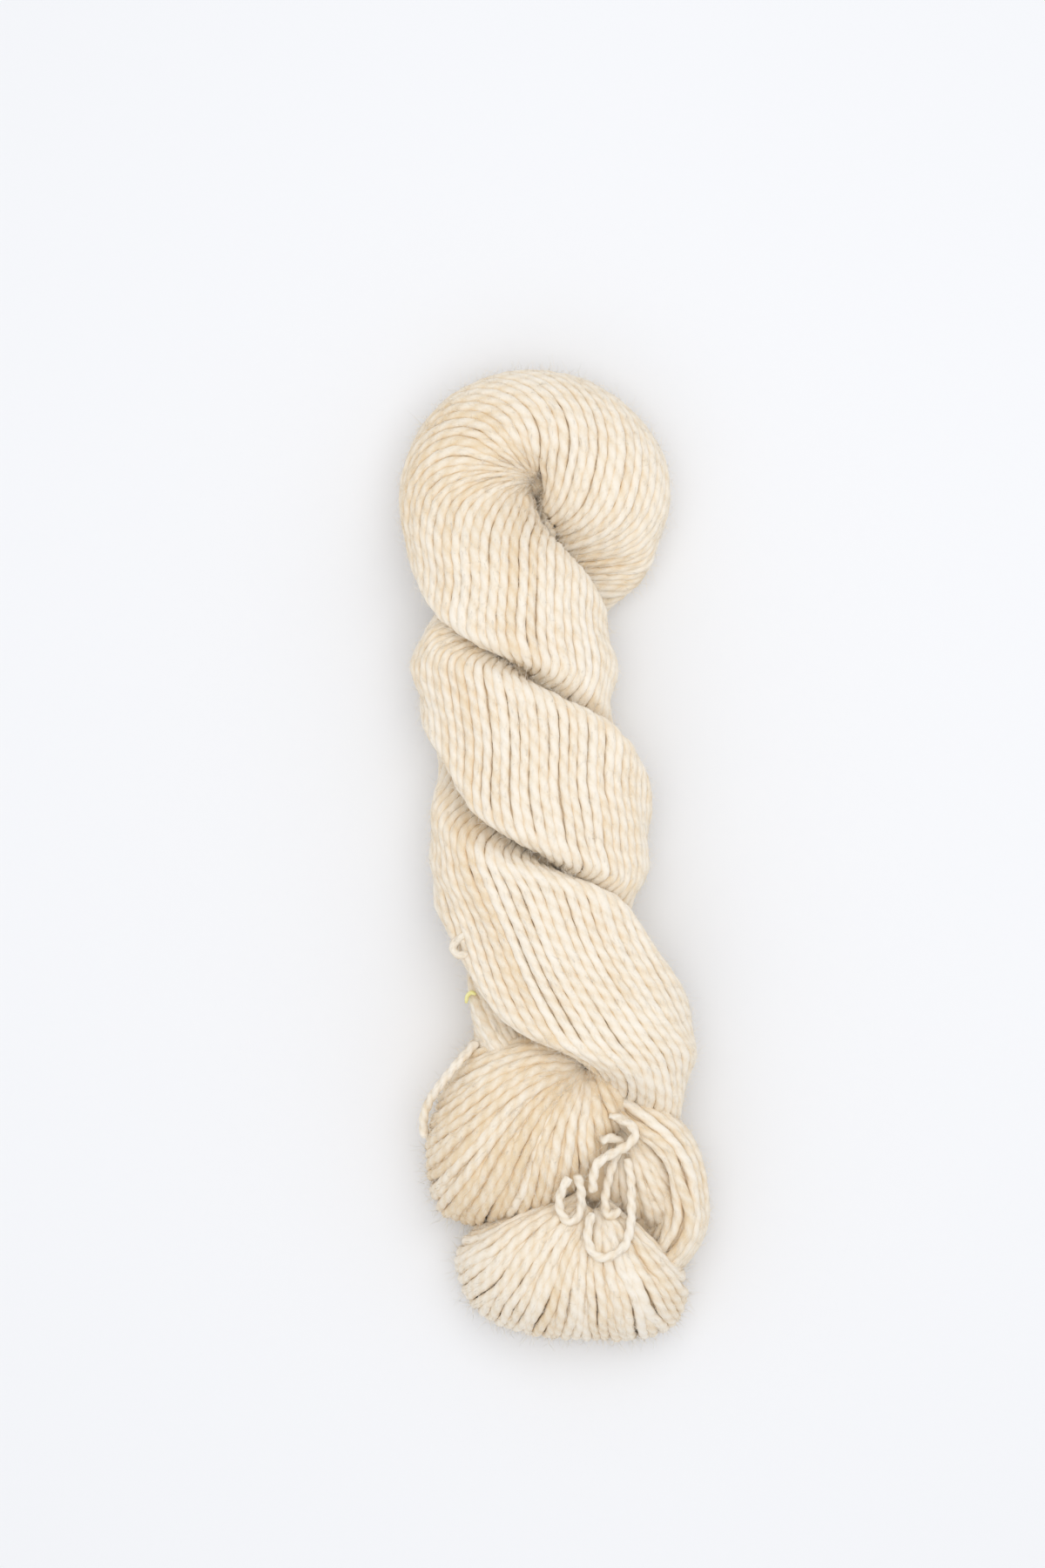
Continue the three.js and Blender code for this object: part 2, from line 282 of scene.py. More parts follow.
upward = np.array([[0.0, 0.0, 1.0]])
shellShadeTone, shellFibre = 0.02, 0.3  # tone of the shells under the yarns, dark as painted shade where they show between them, and stretch of their streaks
wispRoots = []  # path, tangent, outward direction and radius of each wool yarn, for the halo of fibres


def newPiece():
    # an empty collection of points, faces, fibre places and tones
    return {"points": [], "quads": [], "caps": [], "fibre": [], "capFibre": [], "tone": [],
            "count": 0, "paths": []}


def addMesh(piece, points, faces, fibre, tone):
    # new points with their tone, and quads and caps with the fibre place of each of their corners
    keys = ("points", "quads", "caps", "fibre", "capFibre", "tone")
    for key, values in zip(keys, (points, *faces, *fibre, tone)):
        piece[key].append(values)
    piece["count"] += len(points)


def ringFaces(first, rows, sides):
    # quads between neighbouring rings of points, then the first ring backwards and the last as caps
    ring = first + sides * np.arange(rows - 1)[:, None]
    i = np.arange(sides)[None, :]
    j = (i + 1) % sides
    quads = np.stack([ring + i, ring + j, ring + sides + j, ring + sides + i], -1).reshape(-1, 4)
    caps = np.stack([first + np.arange(sides)[::-1], first + sides * (rows - 1) + np.arange(sides)])
    return quads, caps


def addTube(piece, path, up, radius, tone, style=yarn, tipStart=1.0, tipEnd=1.0):
    # rings of eight points across the path; two lobes turn with the plies, down to the left as an S,
    # and painted shade lowers the tone in the groove between the lobes and down the sides
    sides, rings = style["sides"], len(path)
    tangent = unit(np.gradient(path, axis=0))
    normal = unit(up - (up * tangent).sum(-1, keepdims=True) * tangent)
    side = np.cross(tangent, normal)
    run = lengthsAlong(path)
    corner = 2 * np.pi * np.arange(sides) / sides
    spin = 2 * np.pi * (dice.random() - run / style["plyTurn"])
    lobe = style["waist"] + (1 - style["waist"]) * np.abs(np.cos(corner)) ** style["lobePower"]
    taper = np.ones(rings)
    taper[:2] = np.minimum(taper[:2], tipStart)
    taper[-2:] = np.minimum(taper[-2:], tipEnd)
    reach = (radius * taper)[:, None] * lobe[None, :]
    angle = spin[:, None] + corner[None, :]
    points = (path[:, None, :] + (reach * np.cos(angle))[..., None] * normal[:, None, :]
              + (reach * np.sin(angle))[..., None] * side[:, None, :])
    faces = ringFaces(piece["count"], rings, sides)
    across = np.arange(sides + 1)[None, :] / sides + (spin / (2 * np.pi))[:, None]
    grid = np.stack([across, np.repeat(run[:, None], sides + 1, 1)], -1)
    corners = [grid[:-1, :-1], grid[:-1, 1:], grid[1:, 1:], grid[1:, :-1]]
    # painted shade: darker in the groove between the plies and down the sides, away from the top of the yarn
    groove = style["groovePaintedShade"] * np.sin(corner)[None, :] ** 2
    flank = style["flankPaintedShade"] * np.clip(1 - np.cos(angle), 0, style["flankLimit"]) ** style["flankPower"]
    fibre = np.stack(corners, 2).reshape(-1, 2), np.concatenate([grid[0, :-1][::-1], grid[-1, :-1]])
    addMesh(piece, points.reshape(-1, 3), faces, fibre, (tone[:, None] - groove - flank).ravel())
    piece["paths"].append((path, tangent, normal, radius))


def addGrid(piece, points):
    # a closed shell from rows of rings, turned over if its faces look inwards on the whole
    rows, sides = points.shape[:2]
    first = piece["count"]
    points = points.reshape(-1, 3)
    quads, caps = ringFaces(first, rows, sides)
    corners = points[quads - first]
    facing = np.cross(corners[:, 2] - corners[:, 0], corners[:, 3] - corners[:, 1])
    if (facing * (corners[:, 0] - points.mean(0))).sum() < 0:
        quads, caps = quads[:, ::-1], caps[:, ::-1]
    flat = points[:, :2] * shellFibre
    fibre = flat[quads.ravel() - first], flat[caps.ravel() - first]
    # the shells' dark tone is painted shade where they show between the yarns
    addMesh(piece, points, (quads, caps), fibre, np.full(len(points), shellShadeTone))


def makePiece(name, piece, material=creamWool, slot="natural_wool", replaced="hank"):
    # arrays into a mesh in metres; nothing goes below the table
    points = np.concatenate(piece["points"]) - outlineMiddle
    points[:, 2] = np.maximum(points[:, 2], 0.0)
    quads, caps = np.concatenate(piece["quads"]), piece["caps"]
    corners = np.concatenate([quads.ravel()] + [cap.ravel() for cap in caps])
    sizes = np.concatenate([np.full(len(quads), 4)] + [np.full(len(cap), cap.shape[1]) for cap in caps])
    starts = np.concatenate([[0], np.cumsum(sizes)[:-1]])
    mesh = bpy.data.meshes.new(name)
    mesh.vertices.add(len(points))
    mesh.loops.add(len(corners))
    mesh.polygons.add(len(sizes))
    mesh.vertices.foreach_set("co", (points * mm).astype(np.float32).ravel())
    mesh.loops.foreach_set("vertex_index", corners.astype(np.int32))
    mesh.polygons.foreach_set("loop_start", starts.astype(np.int32))
    mesh.update(calc_edges=True)
    fibre = mesh.uv_layers.new(name="fibre")
    uv = np.concatenate(piece["fibre"] + piece["capFibre"])
    fibre.data.foreach_set("uv", uv.astype(np.float32).ravel())
    tone = mesh.attributes.new("tone", "FLOAT", "POINT")
    tone.data.foreach_set("value", np.concatenate(piece["tone"]).astype(np.float32))
    mesh.shade_smooth()
    mesh.materials.append(material)
    made = addObject(name, mesh)
    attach(made, "root")
    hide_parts(replaced)
    if material is creamWool:
        wispRoots.extend(piece["paths"])
    print(f"piece {name}: {int((sizes - 2).sum())} triangles")
    return made


# loose yarns of the tie and the slack loops, each a tube of its own

# the loose cords get a lighter painted shade down their sides
cordStyle = {**yarn, "waist": 0.72, "plyTurn": 8.0, "flankPaintedShade": 0.092}
cordMake = {"diameter": 0.0026, "step": 0.8, "tone": 0.42, "toneWander": 0.12, "toneRings": 2.0}
looseYarns = {  # length in metres; width and route in millimetres
    "tieLoop": {
        "node": "tie_loop", "length": 0.048, "width": 2.9, "tip": 1.0,
        "route": [(21.5, -86.3, 31.8), (22.6, -92, 31.6), (22.8, -98.5, 31.6), (22.5, -104.8, 33.6),
                  (20.9, -110.5, 36.8), (17.8, -113, 37.6), (14.5, -114.1, 37.8), (12, -113, 37.8),
                  (10.4, -109.5, 37.4), (10.4, -105.8, 36.4), (11.4, -102, 34.6)]},
    "tieYarn": {
        "node": "tie_yarn", "length": 0.033, "width": 2.9, "tip": 1.0,
        "route": [(14.2, -81, 36.2), (17.2, -80.4, 34.4), (19.6, -82, 32), (18.4, -85.8, 31.2),
                  (16.8, -90.3, 31.4), (15.8, -94.6, 31.2), (15.2, -99, 31.6), (16, -102.6, 33.4),
                  (17.8, -102.2, 32.8), (19.2, -101.2, 31.8)]},
    "tieEnd": {
        "node": "tie_end", "length": 0.032, "width": 3.0, "tip": 0.55,
        "route": [(11.8, -95.4, 34.2), (11.8, -92, 35.6), (13, -87.6, 36.6), (17, -84.8, 36),
                  (21.6, -82.4, 35.4), (23.8, -79.3, 35.4), (22.8, -77, 34.4), (20.6, -75.6, 33.4),
                  (18.6, -74.6, 33.2), (16.4, -74, 33.6)]},
    "smallLoop": {
        "node": "small_loop", "length": 0.0307, "width": 2.9, "tip": 1.0,
        "route": [(7.2, -90.8, 37.5), (8.3, -94.6, 36), (8.4, -100, 33.8), (7.2, -103.2, 34.2),
                  (5, -104.2, 34.6), (2.8, -101.8, 34.6), (2.2, -97.8, 36), (3.4, -94, 37.4),
                  (5, -91.4, 37.6)]},
    "sideLoop": {
        "node": "side_loop", "length": 0.035, "width": 2.9, "tip": 1.0,
        "route": [(-21.6, -54, 25.5), (-26.4, -59, 29.7), (-31.2, -65, 27.6), (-34.6, -70, 24.6),
                  (-36.4, -74.5, 22.2), (-36.6, -78.4, 20.4), (-36.2, -81, 19.8)]},
}

for name, facts in looseYarns.items():
    path = smoothRoute(facts["route"], cordMake["step"])
    wander = blurRows(dice.standard_normal(len(path)), cordMake["toneRings"])
    tone = cordMake["tone"] + cordMake["toneWander"] * wander
    piece = newPiece()
    addTube(piece, path, upward, np.full(len(path), facts["width"] / 2), tone, cordStyle, 1.0, facts["tip"])
    made = makePiece(name, piece, replaced=facts["node"])
    print(f"cord {name}: {lengthsAlong(path)[-1]:.1f} mm")


# the wound strands: a folded loop of yarn turned round itself

firstStrand = {  # goes up from the open end to the left of the folded end; phase in degrees
    "y": [106.5, 95, 83, 70, 59, 52.75, 45, 38, 25, 10, -2.75, -12.75, -22, -35, -50, -57.25, -72, -87],
    "x": [-23.2, -23.25, -18, -9.6, 0.4, 5.1, -0.5, -6, -5.5, -12.5, -17.4, -7.6, -1.25, 7.5, 16.8, 24.5,
          20.5, 11.75],
    "deep": [19, 18.5, 16.5, 15.5, 14.5, 14, 14.5, 15, 15, 15.5, 15.75, 15.5, 15.5, 15.5, 16, 16, 14, 11],
    "wide": [19.2, 21, 24, 26, 26, 25.5, 25.5, 26, 26.5, 26.5, 27, 27.5, 27.5, 28, 28, 28, 23, 16],
    "phase": [180, 142, 108, 72, 28, 0, -32, -60, -92, -135, -186, -243, -263, -280, -312, -346, -405, -450],
}
secondStrand = {  # comes down from the right of the folded end
    "y": [106.5, 95, 83, 70, 59, 52.75, 45, 38, 29, 18, 8, -2.75, -12, -22, -35, -50, -60, -72, -84],
    "x": [14.7, 14.25, 6, -9.75, -18.75, -23.6, -20, -12.25, -4, 1.25, 7, 13.5, 5.25, 1, -2, -7, -10, -9,
          -3.25],
    "deep": [19, 18.75, 16.5, 14.5, 14.5, 14.75, 15, 15, 15, 15, 15.5, 14.5, 14.5, 14, 14, 13.5, 12.5,
             11, 8],
    "wide": [19.2, 20, 22, 25, 25.5, 26, 27, 27.5, 28, 28, 28, 27.5, 24.5, 23, 23, 21.5, 19, 15, 9],
    "phase": [0, -38, -78, -122, -155, -182, -213, -246, -268, -292, -322, -360, -398, -435, -465, -498,
              -526, -550, -570],
}
strandShape = {
    "foldX": -4.25, "foldY": 106.5, "foldHeight": 18.5, "middleHeight": 21.3,
    "flattening": 0.74, "foldFlattening": 0.94, "fullness": 0.34, "settleLength": 28.0,
    "sideRadius": 19.0, "topRadius": 16.2, "shoulderDrop": 0.8, "eyeRoom": 0.3,
}
edgePush = {  # sideways shift of the visible edges of each strand by height, fading out at the middle
    "y": [110, 95, 85, 75, 68, 58, 50, 40, 30, 22, 10, 0, -10, -20, -30, -40, -50, -62],
    "firstLeft": [-0.5, -1, 0, 3.6, 2.5, 0, 0, 0, 1, 1.5, -2.6, -1.4, -2.2, 0, 0, 0, 0, 0],
    "firstRight": [0, 0, 0, 0, 0, 1.0, 0.5, 1.4, -1.4, 0, 0, 0, 0, -1.9, -0.8, 1.2, 2.4, 0],
    "secondLeft": [0, 0, 0, 0, -2, -4.4, -0.8, 0, 1, 2.6, 0, 0, 0, 0, 0, 0, 0, 0],
    "secondRight": [-1, 0, 0.8, 0, 0, 0, 0, 0, -1.2, 0, 2.6, 0, 2.4, -1, 0, 0, 0, 0],
    "reach": 20.0,  # the shift is whole this far from the middle
    "fade": (100.0, 112.0),  # and goes to nothing over these heights
}
strandTurns = {
    "pitch": 2.85,  # between yarns lying side by side
    "span": (0.02, 2.985),  # how much of the whole strand is wound
    "rowStep": 0.6,  # of the grid along the strand
    "columns": 161,  # and round it, from its hidden side to its hidden side
    "firm": 12.0,  # rows over which the wound surface is evened
    "eyeLever": 20.5,  # larger sends the yarns of the folded end straighter into its eye
    "leanAt": [-90, -60, -30, -5, 20, 60, 110],  # height on the hank
    "lean": [45, 36, 30, 14, 3, 0, 0],  # degrees off the hank's length on top of each turn
    "rateRows": 14.0,  # rows over which the rate of crossing yarns is evened
    "foldAt": (0.97, 2.03), "foldEase": 0.06,  # along the strand: where the folded end's own rate holds
    "driftRows": 4.0, "growthRows": 6.0, "countRows": 1.5, "leastRoom": 0.02,  # softness of the count
    "wander": 0.06,  # sideways, in pitches
    "rise": 0.16, "riseLimit": 0.5,  # up and down
    "crowding": (0.35, 1.1),  # least and most room for a yarn, in pitches
    "stackAt": (0.45, 0.8),  # room at which every other yarn starts to sink under its neighbours
    "stack": 0.9,  # and how deep
    "sink": 3.0,  # how deep a yarn dives between the strands
    "sinkFrom": 0.84,  # share of the way round to the hidden side where it starts
    "leaveSink": (0.80, 0.92), "meetSink": (2.16, 2.32),  # along the strand: the folded end has no dive
    "endAfter": 2.5,  # along the strand: where the open loops cover the second strand
    "endFrom": -55.0,  # height where its yarns start to dive under the open loops
    "endLength": 12.0, "endDive": 9.0,
    "fewest": 12,  # columns that a yarn crosses at least
    "fineStep": 0.5, "smooth": 5.0,
    "thickness": 0.04, "thickWander": 0.03, "thinning": 0.6,
    "tone": 0.36, "toneSpread": 0.05, "toneWander": 0.03,
    # painted shade: darker where the yarns crowd, where they dive between the strands, and on the left of
    # the folded end as if lit from the right
    "crowdPaintedShade": 0.12, "sinkPaintedShade": 0.24, "knobPaintedShade": 0.09, "knobFrom": (70, 100), "knobLeft": 25,
    "knobStart": 0.93, "knobEnd": 2.03,
}


def columnAt(table, key, y):
    # a column of a table at any height between its rows
    return along(table["y"], table[key], y)


def middleLine(y):
    # halfway between the two strands
    return 0.5 * (columnAt(firstStrand, "x", y) + columnAt(secondStrand, "x", y))


def pushed(points, v):
    # edges shifted by edgePush: the further from the hank's middle line, the more
    y = np.clip(points[..., 1], edgePush["y"][-1], edgePush["y"][0])
    offset = points[..., 0] - middleLine(y)
    leftward = ease(-offset, 0, edgePush["reach"])
    rightward = ease(offset, 0, edgePush["reach"])
    onFirst = v < 1.5
    left = np.where(onFirst, columnAt(edgePush, "firstLeft", y), columnAt(edgePush, "secondLeft", y))
    right = np.where(onFirst, columnAt(edgePush, "firstRight", y), columnAt(edgePush, "secondRight", y))
    fade = ease(-points[..., 1], -edgePush["fade"][1], -edgePush["fade"][0])
    shift = (left * leftward + right * rightward) * fade
    return points + shift[..., None] * np.array([1.0, 0, 0])


def sectionPoint(table, hand, y, theta):
    # a fat ellipse leaning at phase round the hank's middle, pressed a little flat
    s = strandShape
    phase = np.radians(columnAt(table, "phase", y))
    into = ease(s["foldY"] - y, 0, s["settleLength"])
    press = s["foldFlattening"] + (s["flattening"] - s["foldFlattening"]) * into
    height = s["foldHeight"] + (s["middleHeight"] - s["foldHeight"]) * into
    deep = columnAt(table, "deep", y)
    out = deep * np.cos(theta)
    around = hand * columnAt(table, "wide", y) * np.sin(theta) * (1 - s["fullness"] * into * np.cos(theta))
    x = columnAt(table, "x", y) + out * np.cos(phase) - around * np.sin(phase)
    z = height + press * ((out + deep * into) * np.sin(phase) + around * np.cos(phase))
    return np.stack([x, y + 0 * x, z], -1)


def foldPoint(turn, theta):
    # the folded end: a ring section carried round half a circle that is a little lower at its top
    s = strandShape
    r = (s["sideRadius"] + (s["topRadius"] - s["sideRadius"]) * np.sin(turn) ** 2
         - s["shoulderDrop"] * np.maximum(np.sin(2 * turn), 0) ** 2)
    d = r + s["eyeRoom"] + r * np.cos(theta)
    z = s["foldHeight"] - s["foldFlattening"] * firstStrand["wide"][0] * np.sin(theta) + 0 * d
    return np.stack([s["foldX"] + d * np.cos(turn), s["foldY"] + d * np.sin(turn), z], -1)


def strandPoint(v, theta):
    # v 0 to 1 goes up the first strand, 1 to 2 round the fold, 2 to 3 down the second
    v, theta = np.broadcast_arrays(np.asarray(v, float), np.asarray(theta, float))
    fold, lowFirst, lowSecond = strandShape["foldY"], firstStrand["y"][-1], secondStrand["y"][-1]
    points = np.zeros(v.shape + (3,))
    onFirst, onSecond = v < 1, v > 2
    onFold = ~onFirst & ~onSecond
    up = lowFirst + (fold - lowFirst) * v[onFirst]
    down = fold + (lowSecond - fold) * (v[onSecond] - 2)
    points[onFirst] = sectionPoint(firstStrand, 1, up, theta[onFirst])
    points[onFold] = foldPoint(np.pi * (2 - v[onFold]), theta[onFold])
    points[onSecond] = sectionPoint(secondStrand, -1, down, theta[onSecond])
    return points


def evenRows(surface, low, high, span, spacing):
    # places along the surface whose rings lie one spacing apart, on average over the ring
    fine = np.linspace(low, high, 1500)
    marks = np.arange(24) / 24 * span
    lines = surface(fine[:, None] + 0 * marks, marks + 0 * fine[:, None])
    run = np.concatenate([[0], np.cumsum(np.linalg.norm(np.diff(lines, axis=0), axis=2).mean(1))])
    return np.interp(np.linspace(0, run[-1], int(run[-1] / spacing)), run, fine)


def crossingRate(grid, rows):
    # yarns that cross the strand's outermost line from one row to the next: sideways run of the line over
    # the pitch, turned by the lean, and an even rate round the folded end
    facts, crown = strandTurns, grid.shape[1] // 2
    step = np.gradient(grid[:, crown], axis=0)
    around = unit(grid[:, crown + 1] - grid[:, crown - 1])
    sideways = (step * around).sum(-1)
    forward = np.sqrt(np.maximum((step ** 2).sum(-1) - sideways ** 2, 0))
    height = np.clip(grid[:, crown, 1], facts["leanAt"][0], facts["leanAt"][-1])
    lean = np.radians(along(facts["leanAt"], facts["lean"], height))
    straight = (sideways * np.cos(lean) - forward * np.sin(lean)) / facts["pitch"]
    folded = facts["eyeLever"] * np.pi * np.gradient(rows) / facts["pitch"]
    over, (start, end) = facts["foldEase"], facts["foldAt"]
    onFold = np.clip((rows - start) / over, 0, 1) * np.clip((end - rows) / over, 0, 1)
    return blurRows(straight * (1 - onFold) + folded * onFold, facts["rateRows"])


def countYarns(grid, rate):
    # a count over the grid that grows by one per pitch, square to the yarns, from the outermost line
    # both ways: with the slope along the strand known, the slope round it follows from the pitch;
    # a yarn lies wherever the count is whole
    facts, pitch = strandTurns, strandTurns["pitch"]
    rowCount, columns = grid.shape[:2]
    crown = columns // 2
    count = np.zeros((rowCount, columns))
    count[:, crown] = np.cumsum(rate)
    forward = np.gradient(grid, axis=0)
    for way in (1, -1):
        for j in range(crown, columns - 1 if way > 0 else 0, way):
            edge = grid[:, j + way] - grid[:, j]
            width = np.linalg.norm(edge, axis=1)
            step = 0.5 * (forward[:, j] + forward[:, j + way])
            sideways = (step * edge).sum(-1) / width * way
            square = np.maximum((step ** 2).sum(-1), 1e-8)
            straight = np.sqrt(np.maximum(square - sideways ** 2, 1e-8))
            drift = np.gradient(blurRows(count[:, j], facts["driftRows"]))
            room = 1 - drift ** 2 * pitch ** 2 / square
            room = 0.5 * (room + np.sqrt(room ** 2 + facts["leastRoom"]))  # never below nothing
            growth = (sideways * drift + straight * np.sqrt(room * square) / pitch) / square
            growth = np.clip(blurRows(growth, facts["growthRows"]), 0, 1 / pitch)
            count[:, j + way] = blurRows(count[:, j] + way * width * growth, facts["countRows"])
    return count


def spacing(grid, count):
    # distance between whole counts, from the count's slope along and round the grid
    forward, around = np.gradient(grid, axis=0), np.gradient(grid, axis=1)
    perRow, perColumn = np.gradient(count, axis=0), np.gradient(count, axis=1)
    e, f, g = (forward ** 2).sum(-1), (forward * around).sum(-1), (around ** 2).sum(-1)
    steep = g * perRow ** 2 - 2 * f * perRow * perColumn + e * perColumn ** 2
    slope = steep / np.maximum(e * g - f ** 2, 1e-6)
    return 1 / np.sqrt(np.maximum(slope, 1e-6))


def onGrid(grid, rowPlace):
    # values of a grid at a fraction of a row in each column
    i = np.clip(np.floor(rowPlace).astype(int), 0, len(grid) - 2)
    part = (rowPlace - i).reshape(rowPlace.shape + (1,) * (grid.ndim - 2))
    column = np.arange(grid.shape[1])[None, :]
    return grid[i, column] * (1 - part) + grid[i + 1, column] * part


def ownLooks(count, facts):
    # thickness and tone of one yarn, and how both wander along it
    thick = yarn["width"] / 2 * (1 + facts["thickness"] * dice.standard_normal())
    radius = thick * (1 + facts["thickWander"] * unitNoise(count, 1, 8.0)[:, 0])
    tone = facts["tone"] + facts["toneSpread"] * dice.standard_normal()
    return radius, tone + facts["toneWander"] * unitNoise(count, 1, 12.0)[:, 0]


def drawTurn(piece, path, up, side, sinks, covered):
    # one yarn set in under the wound surface: its inset, its dive at the hidden side, the sinking of every
    # other yarn where they crowd, and its own rise and fall
    facts = strandTurns
    path, up = firmRows(path, facts["smooth"]), unit(blurRows(up, facts["smooth"]))
    near, deep = side.T
    under = sinks * facts["stack"] * ease(-near, -facts["stackAt"][1], -facts["stackAt"][0])
    lift = facts["rise"] * unitNoise(len(path), 1, 18.0)[:, 0]
    lift = np.clip(lift, -facts["riseLimit"], facts["riseLimit"])
    depth = yarn["inset"] + facts["sink"] * deep + under - lift
    if covered:
        start = -facts["endFrom"]
        depth = depth + facts["endDive"] * ease(-path[:, 1], start, start + facts["endLength"])
    path = path - depth[:, None] * up
    path[:, 2] = np.maximum(path[:, 2], yarn["lowest"])
    path, up, side = resample(path, yarn["step"], up, side)
    near, deep = side.T
    radius, tone = ownLooks(len(path), facts)
    # painted shade on crowded and diving yarns and on the left of the folded end
    knobShadeMask = ease(path[:, 1], *facts["knobFrom"]) * ease(-path[:, 0], 0, facts["knobLeft"])
    tone = tone - facts["crowdPaintedShade"] * (1 - near) - facts["sinkPaintedShade"] * deep - facts["knobPaintedShade"] * knobShadeMask
    addTube(piece, path, up, radius * near ** facts["thinning"], tone)


def windStrand(grid, outward, rows, ringPlaces):
    # every yarn from the hidden side of the strand round to the hidden side again: in each column of the
    # grid, the row at which the count reaches the yarn's own number
    facts, columns = strandTurns, len(ringPlaces)
    count = countYarns(grid, crossingRate(grid, rows))
    rising = np.maximum.accumulate(count, axis=0) + 1e-6 * np.arange(len(rows))[:, None]
    levels = np.arange(np.ceil(rising.min()), np.floor(rising.max()) + 1)
    sway = unitNoise(columns, len(levels), 12.0).T + 0.25 * unitNoise(columns, len(levels), 6.0).T
    wanted = levels[:, None] + facts["wander"] * sway
    place = np.stack([np.interp(wanted[:, j], rising[:, j], np.arange(len(rows)), left=-1, right=-1)
                      for j in range(columns)], 1)
    lines, normals = onGrid(grid, place), onGrid(outward, place)
    room = np.clip(onGrid(spacing(grid, count), place) / facts["pitch"], *facts["crowding"])
    v = np.interp(place, np.arange(len(rows)), rows)
    onFold = ease(v, *facts["leaveSink"]) * (1 - ease(v, *facts["meetSink"]))
    dive = ease(np.abs(ringPlaces) / np.pi, facts["sinkFrom"], 1.0) * (1 - onFold)
    pieces = {"firstStrandTurns": newPiece(), "knobTurns": newPiece(), "secondStrandTurns": newPiece()}
    for k in range(len(levels)):
        inside = np.flatnonzero(place[k] >= 0)
        for part in np.split(inside, np.flatnonzero(np.diff(inside) > 1) + 1):
            if len(part) < facts["fewest"]:
                continue
            side = np.stack([room[k, part], dive[k, part]], 1)
            path, up, side = resample(lines[k, part], facts["fineStep"], normals[k, part], side)
            middle = v[k, part].mean()
            name = "secondStrandTurns"
            if middle < facts["knobStart"]:
                name = "firstStrandTurns"
            elif middle < facts["knobEnd"]:
                name = "knobTurns"
            drawTurn(pieces[name], path, up, side, k % 2, middle > facts["endAfter"])
    print(f"strands: {len(levels)} yarns, {np.ptp(count):.0f} counted")
    return pieces


strandRows = evenRows(strandPoint, *strandTurns["span"], 2 * np.pi, strandTurns["rowStep"])
ringPlaces = np.linspace(-np.pi, np.pi, strandTurns["columns"])
wound = strandPoint(strandRows[:, None] + 0 * ringPlaces, ringPlaces + 0 * strandRows[:, None])
wound = firmRows(pushed(wound, strandRows[:, None]), strandTurns["firm"])
woundOut = unit(np.cross(np.gradient(wound, axis=0), np.gradient(wound, axis=1)))
strandPieces = windStrand(wound, woundOut, strandRows, ringPlaces)


# yarns laid side by side on a surface, for the open loops

laneFit = {
    "rounds": 10, "rowStep": 0.5,
    "soften": 7.0,  # rows over which the room for yarns is evened
    "straighten": 16.0,  # rows over which each yarn is pulled straight
    "sinkOver": 1.5,  # yarns that go from lying on top to sunk
    "spread": 0.6180339887,  # golden section: strews the sunk yarns evenly among the rest
    "leastGap": 0.05, "leastWidth": 0.02, "stretch": (0.3, 3.0),
}
laneLay = {
    "slow": 16.0,  # rows over which a yarn wanders
    "wander": 0.3,  # sideways, in pitches
    "rise": 0.2, "riseLimit": 0.7,  # up and down
    "sink": 1.3,  # how deep a yarn goes where there is no room for it
    "smooth": 3.0, "inset": 0.3, "loose": 1.0,
    "thickness": 0.05, "thickWander": 0.04,
    # the last value is painted shade on yarns sunk under their neighbours
    "toneSpread": 0.055, "toneWander": 0.035, "sinkPaintedShade": 0.10,
}


def evenPlaces(surface, rows, share, span, parts=96):
    # share of the way round each row, by length on the surface, as the surface's own parameter
    marks = np.linspace(0, 1, parts + 1)
    ring = surface(rows[:, None] + 0 * marks, marks * span + 0 * rows[:, None])
    steps = np.linalg.norm(np.diff(ring, axis=1), axis=2)
    run = np.concatenate([np.zeros((len(rows), 1)), np.cumsum(steps, axis=1)], 1)
    run /= run[:, -1:]
    whole = np.floor(share)
    part = share - whole
    k = (part[:, :, None] >= run[:, None, 1:-1]).sum(-1)
    low, high = np.take_along_axis(run, k, 1), np.take_along_axis(run, k + 1, 1)
    return span * (whole + (k + (part - low) / (high - low)) / parts)


